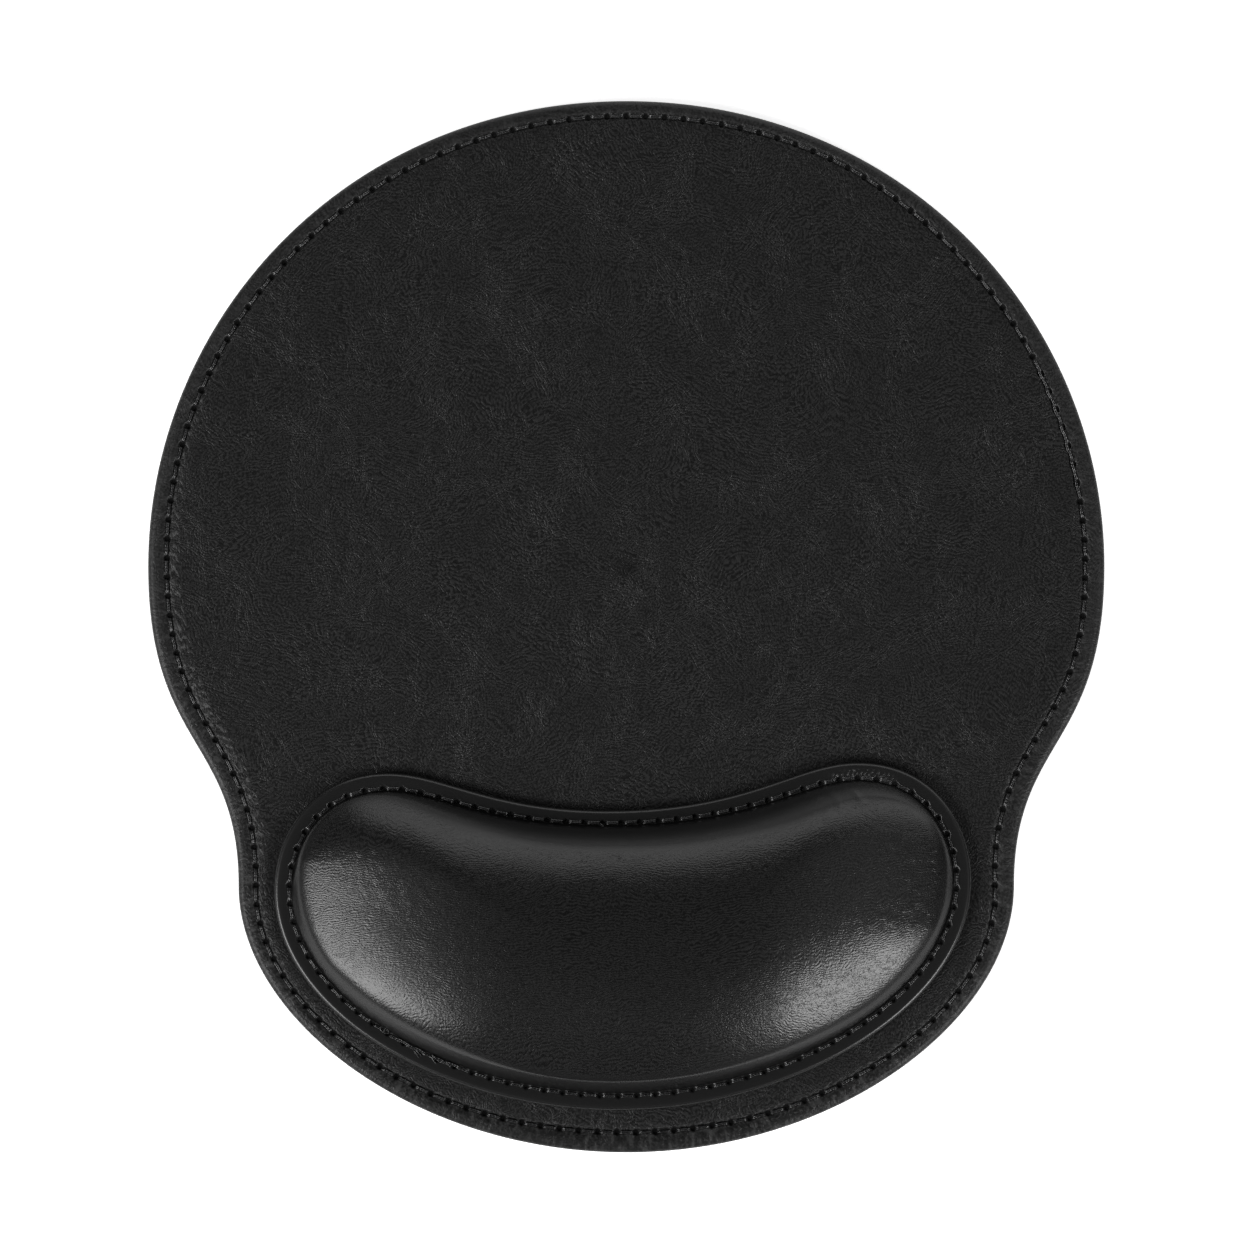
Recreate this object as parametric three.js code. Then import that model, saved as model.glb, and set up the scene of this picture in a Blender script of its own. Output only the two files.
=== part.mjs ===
// A leather mouse pad with a padded wrist rest. Sizes are in millimetres.
// +Z is up, +X is the user's right and +Y points away from the user.
// The origin is on the desk, under the middle of the pad's outline.
import * as THREE from 'three';

// Pad outline, right half: from the far end to the widest line, to the neck, to the near end
const headHalfWidth = 113.7;
const headReach = 110.7;
const neckDrop = 75.9;
const neckHalfWidth = 92.2;
const baseReach = 63.4;
const farHandleShare = 0.59;
const headSideHandleShare = 0.526;
const neckUpperHandleShare = 0.57;
const neckLowerHandleShare = 0.464;
const baseSideHandleShare = 0.498;
const nearHandleShare = 0.547;

// Pad layers
const baseThickness = 1;
const baseSetback = 1.2;
const coreThickness = 2.2;
const padLeatherThickness = 0.8;
const padFlapWidth = 11;
const layerFit = 0.3;

// Pad seam, sewn by hand and eye: its inset wanders round the pad, here in even steps that start
// at the far end and pass the left side first, as shares of the mean inset
const padSeamInset = 4.2;
const seamWanderShares = [
  0.88, 0.95, 0.95, 0.97, 1.1, 1.05, 0.92, 1.02,
  1.18, 1.02, 0.91, 1.2, 1.1, 1.13, 1.05, 0.79,
];

// Grooves and stitches of both seams
const seamHalfWidth = 0.9;
const stitchLength = 4.55;
const stitchLift = 0.24;
const threadRadius = 0.2;
const threadFit = 0.05;

// Wrist rest outline, right half, about its own centre: hollow far side, lobe, tip, near side
const restNearMargin = 10.6;
const restShift = -0.56;
const restTurn = THREE.MathUtils.degToRad(1.3);
const hollowReach = 28.1;
const lobeHalfSpacing = 55.7;
const lobeReach = 38.2;
const tipHalfWidth = 82.4;
const tipReach = 10.7;
const restNearReach = 42.3;
const hollowHandleShare = 0.55;
const lobeInnerHandleShare = 0.245;
const lobeOuterHandleShare = 0.655;
const tipFarHandleShare = 0.51;
const tipNearHandleShare = 0.548;
const restNearHandleShare = 0.51;

// Wrist rest layers and seam
const restLeatherThickness = 0.8;
const restFlapWidth = 8;
const boardThickness = 1.2;
const restSeamInset = 3.3;
const hollowSeamInset = 2.6;
const hollowHalfSpan = 52;

// Wrist rest cushion
const crownRise = 15.2;
const shoulderWidth = 3.1;
const hollowShoulderWidth = 5.2;
const shoulderRise = 5.4;
const hollowShoulderRise = 8.6;
const seamFootWidth = 0.7;
const seamFootRise = 0.1;
const wallBellyShare = 0.35;
const wallHeightShare = 0.55;
const spineLengthShare = 0.5;
const spineReach = 8;
const spineBend = 5;
const crownPower = 2.2;
const crownShares = [0.08, 0.34, 0.62, 0.86];
const foamFit = 0.3;

// Fineness of the surfaces
const padHalfSteps = 54;
const restHollowSteps = 5;
const restLobeSteps = 7;
const restCrowding = 1.25;
const rimSteps = 4;
const threadSides = 3;

// Levels, all stacked up from the desk
const baseTop = baseThickness;
const padFlapTop = baseTop + padLeatherThickness;
const coreTop = baseTop + coreThickness;
const padTop = coreTop + padLeatherThickness;
const restFlapTop = padTop + restLeatherThickness;
const boardTop = restFlapTop + boardThickness;
const flangeTop = boardTop + restLeatherThickness;
const crownTop = flangeTop + crownRise;
const rimBend = (padTop - baseTop) / 2;

// A groove just deep enough that a thread in its V lies flush, with its fit on every side
const threadReach = threadRadius + threadFit;
const seamDepth = (2 * threadReach) / (1 - (threadReach / seamHalfWidth) ** 2);

// Where the outlines stand
const padHalfLength = (headReach + neckDrop + baseReach) / 2;
const widestY = padHalfLength - headReach;
const neckY = widestY - neckDrop;
const restY = restNearMargin + restNearReach - padHalfLength;
const fanCentre = new THREE.Vector2(0, widestY);

const coverLeather = new THREE.MeshStandardMaterial({ color: '#232324', roughness: 0.62, metalness: 0 });
const cushionLeather = new THREE.MeshStandardMaterial({ color: '#1b1b1c', roughness: 0.38, metalness: 0 });
const thread = new THREE.MeshStandardMaterial({ color: '#39393b', roughness: 0.6, metalness: 0 });
const gripRubber = new THREE.MeshStandardMaterial({ color: '#1d1d1e', roughness: 0.85, metalness: 0 });
const foam = new THREE.MeshStandardMaterial({ color: '#4b4b4c', roughness: 0.95, metalness: 0 });
const board = new THREE.MeshStandardMaterial({ color: '#6d675c', roughness: 0.9, metalness: 0 });
const adhesive = new THREE.MeshStandardMaterial({ color: '#8d8d88', roughness: 0.6, metalness: 0 });

const point = (x, y) => new THREE.Vector2(x, y);

// A closed loop, counterclockwise from the far centre, out of its right half
function mirrored(rightHalf) {
  const left = rightHalf.map((p) => point(-p.x, p.y));
  const right = rightHalf.slice(1, -1).reverse();
  return [...left, ...right];
}

function padOutline() {
  const far = point(0, padHalfLength);
  const side = point(headHalfWidth, widestY);
  const neck = point(neckHalfWidth, neckY);
  const near = point(0, -padHalfLength);
  const half = new THREE.CurvePath();
  half.add(new THREE.CubicBezierCurve(
    far,
    point(headHalfWidth * farHandleShare, far.y),
    point(side.x, widestY + headReach * headSideHandleShare),
    side,
  ));
  half.add(new THREE.CubicBezierCurve(
    side,
    point(side.x, widestY - neckDrop * neckUpperHandleShare),
    point(neck.x, neckY + neckDrop * neckLowerHandleShare),
    neck,
  ));
  half.add(new THREE.CubicBezierCurve(
    neck,
    point(neck.x, neckY - baseReach * baseSideHandleShare),
    point(neckHalfWidth * nearHandleShare, near.y),
    near,
  ));
  return mirrored(half.getSpacedPoints(padHalfSteps));
}

// The points crowd towards the tips, where the outline turns most
function restOutline() {
  const hollow = point(0, hollowReach);
  const lobe = point(lobeHalfSpacing, lobeReach);
  const tip = point(tipHalfWidth, tipReach);
  const near = point(0, -restNearReach);
  const hollowSide = new THREE.CubicBezierCurve(
    hollow,
    point(lobeHalfSpacing * hollowHandleShare, hollow.y),
    point(lobeHalfSpacing * (1 - lobeInnerHandleShare), lobe.y),
    lobe,
  );
  const lobeSide = new THREE.CubicBezierCurve(
    lobe,
    point(lobe.x + (tipHalfWidth - lobeHalfSpacing) * lobeOuterHandleShare, lobe.y),
    point(tip.x, tip.y + (lobeReach - tipReach) * tipFarHandleShare),
    tip,
  );
  const nearSide = new THREE.CubicBezierCurve(
    tip,
    point(tip.x, tip.y - (tipReach + restNearReach) * tipNearHandleShare),
    point(tipHalfWidth * restNearHandleShare, near.y),
    near,
  );
  const nearSteps = restHollowSteps + restLobeSteps;
  const half = hollowSide.getSpacedPoints(restHollowSteps).slice(0, -1);
  half.push(...lobeSide.getSpacedPoints(restLobeSteps));
  for (let step = 1; step <= nearSteps; step += 1) {
    half.push(nearSide.getPointAt((step / nearSteps) ** restCrowding));
  }
  return mirrored(half);
}

// Moves each side of a loop inwards by one distance, or by what inset(point, share of the way) gives
function insetLoop(loop, inset) {
  const count = loop.length;
  return loop.map((p, i) => {
    const before = p.clone().sub(loop[(i + count - 1) % count]).normalize();
    const after = loop[(i + 1) % count].clone().sub(p).normalize();
    const inward = point(-before.y - after.y, before.x + after.x).normalize();
    const squareness = inward.x * -before.y + inward.y * before.x;
    const distance = typeof inset === 'function' ? inset(p, i / count) : inset;
    return p.clone().addScaledVector(inward, distance / squareness);
  });
}

const atHeight = (loop, z) => loop.map((p) => new THREE.Vector3(p.x, p.y, z));

// Rings round a bent edge, from one angle to another about the centre line of the bend
function bentRings(outline, centreInset, centreZ, bend, fromAngle, toAngle, steps) {
  const rings = [];
  for (let step = 0; step <= steps; step += 1) {
    const angle = fromAngle + (toAngle - fromAngle) * (step / steps);
    const inset = centreInset - bend * Math.cos(angle);
    rings.push(atHeight(insetLoop(outline, inset), centreZ + bend * Math.sin(angle)));
  }
  return rings;
}

function meshOf(name, vertices, faces, material) {
  const geometry = new THREE.BufferGeometry();
  const positions = vertices.flatMap((v) => v.toArray());
  geometry.setAttribute('position', new THREE.Float32BufferAttribute(positions, 3));
  geometry.setIndex(faces.flat());
  geometry.computeVertexNormals();
  const mesh = new THREE.Mesh(geometry, material);
  mesh.name = name;
  return mesh;
}

// Faces between each ring and the next; the first ring is the inner or upper one
function bandFaces(ringCount, sides, closed = false) {
  const faces = [];
  const bands = closed ? ringCount : ringCount - 1;
  for (let ring = 0; ring < bands; ring += 1) {
    const here = ring * sides;
    const next = ((ring + 1) % ringCount) * sides;
    for (let i = 0; i < sides; i += 1) {
      const j = (i + 1) % sides;
      faces.push([here + i, next + i, next + j], [here + i, next + j, here + j]);
    }
  }
  return faces;
}

// A sheet or slab: rings from its top face round to its bottom face, and a fan on each face
function fannedSolid(name, rings, material) {
  const sides = rings[0].length;
  const vertices = rings.flat();
  const faces = bandFaces(rings.length, sides);
  const top = vertices.length;
  const bottom = top + 1;
  const last = (rings.length - 1) * sides;
  vertices.push(new THREE.Vector3(fanCentre.x, fanCentre.y, rings[0][0].z));
  vertices.push(new THREE.Vector3(fanCentre.x, fanCentre.y, rings.at(-1)[0].z));
  for (let i = 0; i < sides; i += 1) {
    const j = (i + 1) % sides;
    faces.push([top, i, j], [bottom, last + j, last + i]);
  }
  return meshOf(name, vertices, faces, material);
}

// The same for the kidney-shaped pieces, closed by strips from one tip to the other
function strippedSolid(name, rings, material) {
  const sides = rings[0].length;
  const faces = bandFaces(rings.length, sides);
  const last = (rings.length - 1) * sides;
  const tip = sides / 4;
  for (let k = 0; k < sides / 2; k += 1) {
    const a = (tip - k + sides) % sides;
    const b = tip + k;
    const c = tip + k + 1;
    const d = (tip - k - 1 + sides) % sides;
    if (a !== b) faces.push([a, b, c], [last + a, last + c, last + b]);
    if (c !== d) faces.push([a, c, d], [last + a, last + d, last + c]);
  }
  return meshOf(name, rings.flat(), faces, material);
}

function loopLength(loop) {
  return loop.reduce((sum, p, i) => sum + p.distanceTo(loop[(i + 1) % loop.length]), 0);
}

// The point at a share of the way round a loop, on its own straight sides
function pointOnLoop(loop, share) {
  let left = share * loopLength(loop);
  for (let i = 0; i < loop.length; i += 1) {
    const next = loop[(i + 1) % loop.length];
    const side = loop[i].distanceTo(next);
    if (left <= side) return loop[i].clone().lerp(next, left / side);
    left -= side;
  }
  return loop[0].clone();
}

// Two stations for each stitch of a seam: its hole and its middle
function stitchStations(seam) {
  const stitches = Math.round(loopLength(seam) / stitchLength);
  const stations = [];
  for (let i = 0; i < 2 * stitches; i += 1) stations.push(pointOnLoop(seam, i / (2 * stitches)));
  return stations;
}

// One closed thread through its stations, whose centre rises by lift at every second one
function threadRing(name, path, z, lift) {
  const stations = path.length;
  const vertices = [];
  path.forEach((p, i) => {
    const along = path[(i + 1) % stations].clone().sub(path[(i + stations - 1) % stations]).normalize();
    const centreZ = z + lift * (i % 2);
    for (let side = 0; side < threadSides; side += 1) {
      const angle = Math.PI / 2 + (2 * Math.PI * side) / threadSides;
      const out = threadRadius * Math.cos(angle);
      const up = threadRadius * Math.sin(angle);
      vertices.push(new THREE.Vector3(p.x + along.y * out, p.y - along.x * out, centreZ + up));
    }
  });
  return meshOf(name, vertices, bandFaces(stations, threadSides, true), thread);
}

// The seam's inset at a share of the way round, eased from one wander share to the next
function seamInsetAt(p, share) {
  const place = share * seamWanderShares.length;
  const step = Math.floor(place);
  const eased = (1 - Math.cos((place - step) * Math.PI)) / 2;
  const here = seamWanderShares[step];
  const next = seamWanderShares[(step + 1) % seamWanderShares.length];
  return padSeamInset * (here + (next - here) * eased);
}

// Three rings of a groove along the pad's seam: outer edge, bottom, inner edge
function seamGroove(outline, surfaceZ, depth) {
  const beside = (side) => insetLoop(outline, (p, share) => seamInsetAt(p, share) + side * seamHalfWidth);
  return [
    atHeight(beside(-1), surfaceZ),
    atHeight(beside(0), surfaceZ - depth),
    atHeight(beside(1), surfaceZ),
  ];
}

function nonslipBase(outline) {
  const edge = insetLoop(outline, baseSetback);
  const rings = [
    atHeight(edge, baseTop),
    atHeight(edge, 0),
    ...seamGroove(outline, 0, -seamDepth),
  ];
  return fannedSolid('nonslip_base', rings, gripRubber);
}

// Leather over the core, turned round the rim and glued back under it
function padCover(outline) {
  const rimZ = baseTop + rimBend;
  const up = Math.PI / 2;
  const flapEnd = insetLoop(outline, padFlapWidth);
  const rings = [
    ...seamGroove(outline, padTop, seamDepth).reverse(),
    ...bentRings(outline, rimBend, rimZ, rimBend, up, -up, rimSteps),
    atHeight(flapEnd, baseTop),
    atHeight(flapEnd, padFlapTop),
    ...bentRings(outline, rimBend, rimZ, rimBend - padLeatherThickness, -up, up, 2),
  ];
  return fannedSolid('pad_cover', rings, coverLeather);
}

function padCore(outline) {
  const edge = insetLoop(outline, rimBend + layerFit);
  const step = insetLoop(outline, padFlapWidth + layerFit);
  const rings = [
    atHeight(edge, coreTop),
    atHeight(edge, padFlapTop),
    atHeight(step, padFlapTop),
    atHeight(step, baseTop),
  ];
  return fannedSolid('pad_core', rings, foam);
}

function padThreads(outline) {
  const seam = insetLoop(outline, seamInsetAt);
  return [
    threadRing('pad_needle_thread', stitchStations(seam), padTop - threadReach, stitchLift),
    threadRing('pad_bobbin_thread', seam, threadReach, 0),
  ];
}

// 1 at the middle of the rest's hollow side, fading to 0 at its lobes and all along its near side
function hollowness(p) {
  if (p.y < 0) return 0;
  const away = Math.min(Math.abs(p.x) / hollowHalfSpan, 1);
  return Math.cos((away * Math.PI) / 2) ** 2;
}

const between = (usual, atHollow) => (p) => usual + (atHollow - usual) * hollowness(p);
const restSeamInsetAt = between(restSeamInset, hollowSeamInset);
const shoulderWidthAt = between(shoulderWidth, hollowShoulderWidth);
const shoulderRiseAt = between(shoulderRise, hollowShoulderRise);

// The cushion's surface, at a depth under the outer leather: rings from the spine to the foot.
// Each crown ring is the shoulder drawn towards a bent spine, and rises by a power of its share.
function cushionRings(outline, depth, footZ) {
  const shoulder = insetLoop(outline, (p) => restSeamInsetAt(p) + shoulderWidthAt(p) + depth);
  const foot = insetLoop(outline, (p) => restSeamInsetAt(p) + seamFootWidth + depth);
  const shoulderZ = outline.map((p) => flangeTop + shoulderRiseAt(p) - depth);
  const ring = (share) => shoulder.map((p, i) => {
    const lean = p.x / tipHalfWidth;
    const spine = point(p.x * spineLengthShare, spineReach + spineBend * lean * lean);
    const at = spine.lerp(p, share);
    const rise = (crownTop - depth - shoulderZ[i]) * (1 - share ** crownPower);
    return new THREE.Vector3(at.x, at.y, shoulderZ[i] + rise);
  });
  const belly = foot.map((p, i) => {
    const at = p.clone().lerp(shoulder[i], wallBellyShare);
    return new THREE.Vector3(at.x, at.y, footZ + (shoulderZ[i] - footZ) * wallHeightShare);
  });
  return [...crownShares.map(ring), ring(1), belly, atHeight(foot, footZ)];
}

// Leather over the cushion, sewn down round its foot and turned under the board
function restCover(outline) {
  const edgeBend = (flangeTop - padTop) / 2;
  const slope = Math.PI / 4;
  const seamAt = (side) => insetLoop(outline, (p) => restSeamInsetAt(p) + side * seamHalfWidth);
  const flapEnd = insetLoop(outline, restFlapWidth);
  const boardEdge = insetLoop(outline, restLeatherThickness);
  const rings = [
    ...cushionRings(outline, 0, flangeTop - seamDepth + seamFootRise),
    atHeight(seamAt(0), flangeTop - seamDepth),
    atHeight(seamAt(-1), flangeTop),
    ...bentRings(outline, edgeBend, padTop + edgeBend, edgeBend, slope, -slope, 2),
    atHeight(seamAt(-1), padTop),
    atHeight(seamAt(0), padTop + seamDepth),
    atHeight(seamAt(1), padTop),
    atHeight(flapEnd, padTop),
    atHeight(flapEnd, restFlapTop),
    atHeight(boardEdge, restFlapTop),
    atHeight(boardEdge, boardTop),
    ...cushionRings(outline, restLeatherThickness, boardTop).reverse(),
  ];
  return strippedSolid('rest_cover', rings, cushionLeather);
}

function restFoam(outline) {
  const depth = restLeatherThickness + foamFit;
  const rings = cushionRings(outline, depth, boardTop);
  return strippedSolid('rest_foam', rings, foam);
}

function restSheet(name, outline, inset, bottomZ, topZ, material) {
  const edge = insetLoop(outline, inset);
  return strippedSolid(name, [atHeight(edge, topZ), atHeight(edge, bottomZ)], material);
}

function restThreads(outline) {
  const seam = insetLoop(outline, restSeamInsetAt);
  return [
    threadRing('rest_needle_thread', stitchStations(seam), flangeTop - threadReach, stitchLift),
    threadRing('rest_bobbin_thread', seam, padTop + threadReach, 0),
  ];
}

function wristRest() {
  const outline = restOutline();
  const rest = new THREE.Group();
  rest.add(
    restCover(outline),
    restFoam(outline),
    restSheet('rest_board', outline, restLeatherThickness + layerFit, restFlapTop, boardTop, board),
    restSheet('rest_adhesive_sheet', outline, restFlapWidth + layerFit, padTop, restFlapTop, adhesive),
    ...restThreads(outline),
  );
  rest.position.set(restShift, restY, 0);
  rest.rotation.z = restTurn;
  return rest;
}

function mousePad() {
  const outline = padOutline();
  const pad = new THREE.Group();
  pad.add(
    nonslipBase(outline),
    padCover(outline),
    padCore(outline),
    ...padThreads(outline),
    wristRest(),
  );
  return pad;
}

export default mousePad();
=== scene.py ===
import bpy
import numpy as np
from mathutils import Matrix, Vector


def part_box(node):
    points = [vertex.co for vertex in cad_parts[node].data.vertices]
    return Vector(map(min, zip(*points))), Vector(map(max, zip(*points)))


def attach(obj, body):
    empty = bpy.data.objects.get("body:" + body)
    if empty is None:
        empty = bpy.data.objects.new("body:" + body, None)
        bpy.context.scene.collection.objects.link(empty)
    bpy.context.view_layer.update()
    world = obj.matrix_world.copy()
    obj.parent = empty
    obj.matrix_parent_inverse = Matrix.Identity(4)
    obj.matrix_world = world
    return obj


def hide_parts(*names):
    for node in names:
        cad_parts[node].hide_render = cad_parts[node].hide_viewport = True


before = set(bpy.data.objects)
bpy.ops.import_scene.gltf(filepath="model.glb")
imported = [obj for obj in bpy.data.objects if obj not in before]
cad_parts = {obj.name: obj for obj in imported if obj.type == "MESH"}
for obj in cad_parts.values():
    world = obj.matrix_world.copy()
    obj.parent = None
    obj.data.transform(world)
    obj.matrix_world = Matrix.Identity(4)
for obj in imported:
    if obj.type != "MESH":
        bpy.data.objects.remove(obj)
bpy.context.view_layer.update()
print("frame loaded with", len(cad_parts), "nodes")

mm = 0.001  # sizes below are in millimetres, and meshes in metres
leather = 0.8  # thickness of both covers


# The height of a CAD node's underside (0) or top (1)
def level(node, end):
    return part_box(node)[end].z / mm


# Heights of the stacked layers, as the frame has them
levels = {
    "baseTop": level("nonslip_base", 1),
    "flapTop": level("pad_core", 0) + leather,
    "coreTop": level("pad_core", 1),
    "padTop": level("pad_cover", 1),
    "sheetTop": level("rest_adhesive_sheet", 1),
    "boardTop": level("rest_board", 1),
    "flangeTop": level("rest_board", 1) + leather,
    "crownTop": level("rest_cover", 1),
}


# A cubic Bezier curve: four corners, or four rows of them, weighted by (1-t)^3, 3t(1-t)^2, 3t^2(1-t) and t^3
def bezier(*corners, count=500):
    a, b, c, d = (np.array(corner, float) for corner in corners)
    t = np.linspace(0, 1, count).reshape(-1, *[1] * a.ndim)
    return a * (1 - t) ** 3 + 3 * b * t * (1 - t) ** 2 + 3 * c * t * t * (1 - t) + d * t ** 3


# Distance along a closed loop up to each point, and back at the first point
def wayAlong(loop):
    steps = np.linalg.norm(np.roll(loop, -1, 0) - loop, axis=1)
    return np.concatenate([[0], np.cumsum(steps)])


# Vectors brought to length one
def unit(vectors):
    return vectors / np.linalg.norm(vectors, axis=-1, keepdims=True)


# Values given round a closed loop, at its points or at known places, read at places between them
def readLoop(values, places, known=None):
    closed = np.vstack([values, values[:1]])
    known = np.arange(len(closed)) if known is None else known
    return np.stack([np.interp(places, known, closed[:, k]) for k in range(values.shape[1])], 1)


# Points at even distances round a loop whose right half runs through these places, from the far centre to the
# near one, and in each of them along the x or the y axis. A handle's length is a share of what its curve goes
# along that axis. The loop itself starts by the left side
def handledLoop(places, axes, handles, count=6000):
    curves = []
    for i, (leave, arrive) in enumerate(handles):
        start, end = np.array(places[i], float), np.array(places[i + 1], float)
        out, into = ((end - start) * [axis == "x", axis == "y"] for axis in axes[i:i + 2])
        curves.append(bezier(start, start + out * leave, end - into * arrive, end)[min(i, 1):])
    rightHalf = np.vstack(curves)
    loop = np.vstack([rightHalf * (-1, 1), rightHalf[-2:0:-1]])
    way = wayAlong(loop)
    spots = np.interp(np.linspace(0, way[-1], count, endpoint=False), way, np.arange(len(way)))
    return readLoop(loop, spots)


# The unit normal into the loop: its direction of travel turned left by a right angle
def inwardOf(loop):
    ahead = np.roll(loop, -1, 0) - np.roll(loop, 1, 0)
    return unit(np.stack([-ahead[:, 1], ahead[:, 0]], 1))


# Stations round an edge, so placed that its seam has whole, even stitches; they crowd at the holes:
# place = phase - crowding * sin(2 pi phase) / 2 pi, with a phase of one for each stitch
def sewnEdge(loop, seamInset, stitchLength, perStitch, crowding=0.72):
    inward = inwardOf(loop)
    shares = np.arange(len(loop)) / len(loop)
    seam = loop + inward * seamInset(loop, shares)[:, None]
    way = wayAlong(seam)
    stitches = round(way[-1] / stitchLength)
    phase = np.arange(stitches * perStitch) / perStitch
    place = phase - crowding * np.sin(2 * np.pi * phase) / (2 * np.pi)
    spots = np.interp(place / stitches * way[-1], way, np.arange(len(way)))
    points, shares = readLoop(loop, spots), spots / len(loop)
    return {
        "points": points, "inward": unit(readLoop(inward, spots)), "share": shares,
        "stitches": stitches, "pitch": way[-1] / stitches, "place": place,
        "fromHole": (place - np.round(place)) * way[-1] / stitches,
        "seamInset": seamInset(points, shares),
    }


# One ring: the edge moved inwards by inset, at height z
def ringAt(edge, inset, z):
    flat = edge["points"] + edge["inward"] * np.broadcast_to(inset, len(edge["points"]))[:, None]
    return np.column_stack([flat, np.broadcast_to(z, len(flat))])


# Rings round a bend: inset = centre inset - reach * cos(angle), z = centre z + height * sin(angle)
def bentRings(edge, centreInset, centreZ, reach, height, degrees):
    angles = np.radians(degrees)
    return [ringAt(edge, centreInset - reach * np.cos(a), centreZ + height * np.sin(a)) for a in angles]


# Quads between each ring and the next, the inner or upper ring first
def bandFaces(ringCount, sides):
    start = np.arange(ringCount - 1)[:, None] * sides
    here = np.arange(sides)[None]
    there = (here + 1) % sides
    corners = [start + here, start + sides + here, start + sides + there, start + there]
    return np.stack(corners, -1).reshape(-1, 4)


# Strips that close a long ring from one tip to the other, between points equally far from the tip
def stripFaces(sides, tip):
    k = np.arange(sides // 2)
    return np.stack([(tip - k) % sides, (tip + k) % sides, (tip + k + 1) % sides, (tip - k - 1) % sides], -1)


# The corners' places in bands of faces: stitches along the seam, and millimetres inwards of it
def seamPlaces(edge, sides):
    along = np.concatenate([edge["place"], [edge["stitches"]]])
    here, there = along[:-1], along[1:]
    bands = []
    for near, far in zip(sides[:-1], sides[1:]):
        near, far = (np.broadcast_to(value, len(here)) for value in (near, far))
        corners = [here, near, here, far, there, np.roll(far, -1), there, np.roll(near, -1)]
        bands.append(np.stack(corners, 1).reshape(-1, 2))
    return np.vstack(bands)


# A new object in the scene
def addObject(name, data):
    thing = bpy.data.objects.new(name, data)
    bpy.context.scene.collection.objects.link(thing)
    return thing


# Values in a flat array for this many items, with noughts after them
def filled(values, *shape):
    whole = np.zeros(shape, np.float32)
    whole[:len(values)] = values
    return whole.ravel()


# A smooth mesh object in metres from points in millimetres, with values at its points and with seam places
def meshObject(name, points, faces, values=None, places=None):
    mesh = bpy.data.meshes.new(name)
    mesh.from_pydata((points * mm).tolist(), [], [list(dict.fromkeys(face)) for face in faces])
    for label, parts in (values or {}).items():
        layer = mesh.attributes.new(label, "FLOAT", "POINT")
        layer.data.foreach_set("value", filled(np.concatenate(parts), len(points)))
    if places is not None:
        mesh.uv_layers.new(name="seamPlace").data.foreach_set("uv", filled(places, len(mesh.loops), 2))
    mesh.polygons.foreach_set("use_smooth", np.ones(len(mesh.polygons), bool))
    mesh.update()
    return addObject(name, mesh)


# A closed body out of rings from its top round to its underside, with a fan on each end
def fannedBody(name, rings, values=None, places=None):
    sides = len(rings[0])
    points = np.vstack([*rings, rings[0].mean(0), rings[-1].mean(0)])
    top, last = len(points) - 2, len(points) - 2 - sides
    around = [(i, (i + 1) % sides) for i in range(sides)]
    faces = bandFaces(len(rings), sides).tolist() + [[top, i, j] for i, j in around]
    faces += [[top + 1, last + j, last + i] for i, j in around]
    return meshObject(name, points, faces, values, places)


# The same with strips on each end, for the kidney-shaped pieces
def strippedBody(name, rings, values=None, places=None):
    sides = len(rings[0])
    last = (len(rings) - 1) * sides
    strips = stripFaces(sides, int(np.argmin(rings[0][:, 0])))
    faces = np.vstack([bandFaces(len(rings), sides), strips, last + strips[:, ::-1]])
    return meshObject(name, np.vstack(rings), faces.tolist(), values, places)


# Values given at even steps round a loop, joined by a closed Catmull-Rom curve
def readRound(values, shares):
    v = np.asarray(values, float)
    place = (shares % 1) * len(v)
    step = np.floor(place).astype(int)
    t = place - step
    a, b, c, d = (v[(step + i) % len(v)] for i in (-1, 0, 1, 2))
    return b + t / 2 * (c - a + t * (2 * a - 5 * b + 4 * c - d + t * (3 * (b - c) + d - a)))


# A soft step from 0 to 1 between two values
def softStep(x, low, high):
    t = np.clip((x - low) / (high - low), 0, 1)
    return t * t * (3 - 2 * t)


padOutline = {
    "headHalfWidth": 113.7, "headReach": 110.7, "neckDrop": 75.9, "neckHalfWidth": 92.2, "baseReach": 63.4,
    "handles": [(0.59, 0.526), (0.57, 0.464), (0.498, 0.547)],  # of each curve, leaving and arriving
}
padHalfLength = (padOutline["headReach"] + padOutline["neckDrop"] + padOutline["baseReach"]) / 2


# Through the far centre, the widest place, the neck and the near centre
def padLoop():
    o, widestY = padOutline, padHalfLength - padOutline["headReach"]
    return handledLoop([
        (0, padHalfLength), (o["headHalfWidth"], widestY),
        (o["neckHalfWidth"], widestY - o["neckDrop"]), (0, -padHalfLength),
    ], "xyyx", o["handles"])


padSeam = {
    "inset": 4.2, "stitchLength": 4.55, "perStitch": 10,
    # its inset wanders, in even steps from the far end by the left side, as shares of the mean inset
    "wanderShares": [0.88, 0.95, 0.95, 0.97, 1.1, 1.05, 0.92, 1.02,
                     1.18, 1.02, 0.91, 1.2, 1.1, 1.13, 1.05, 0.79],
}


# The wander shares eased into each other by half a cosine wave
def padSeamInset(points, shares):
    wander = np.array(padSeam["wanderShares"])
    place = shares * len(wander)
    step = np.floor(place).astype(int) % len(wander)
    eased = (1 - np.cos((place - np.floor(place)) * np.pi)) / 2
    here, there = wander[step], wander[(step + 1) % len(wander)]
    return padSeam["inset"] * (here + (there - here) * eased)


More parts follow.
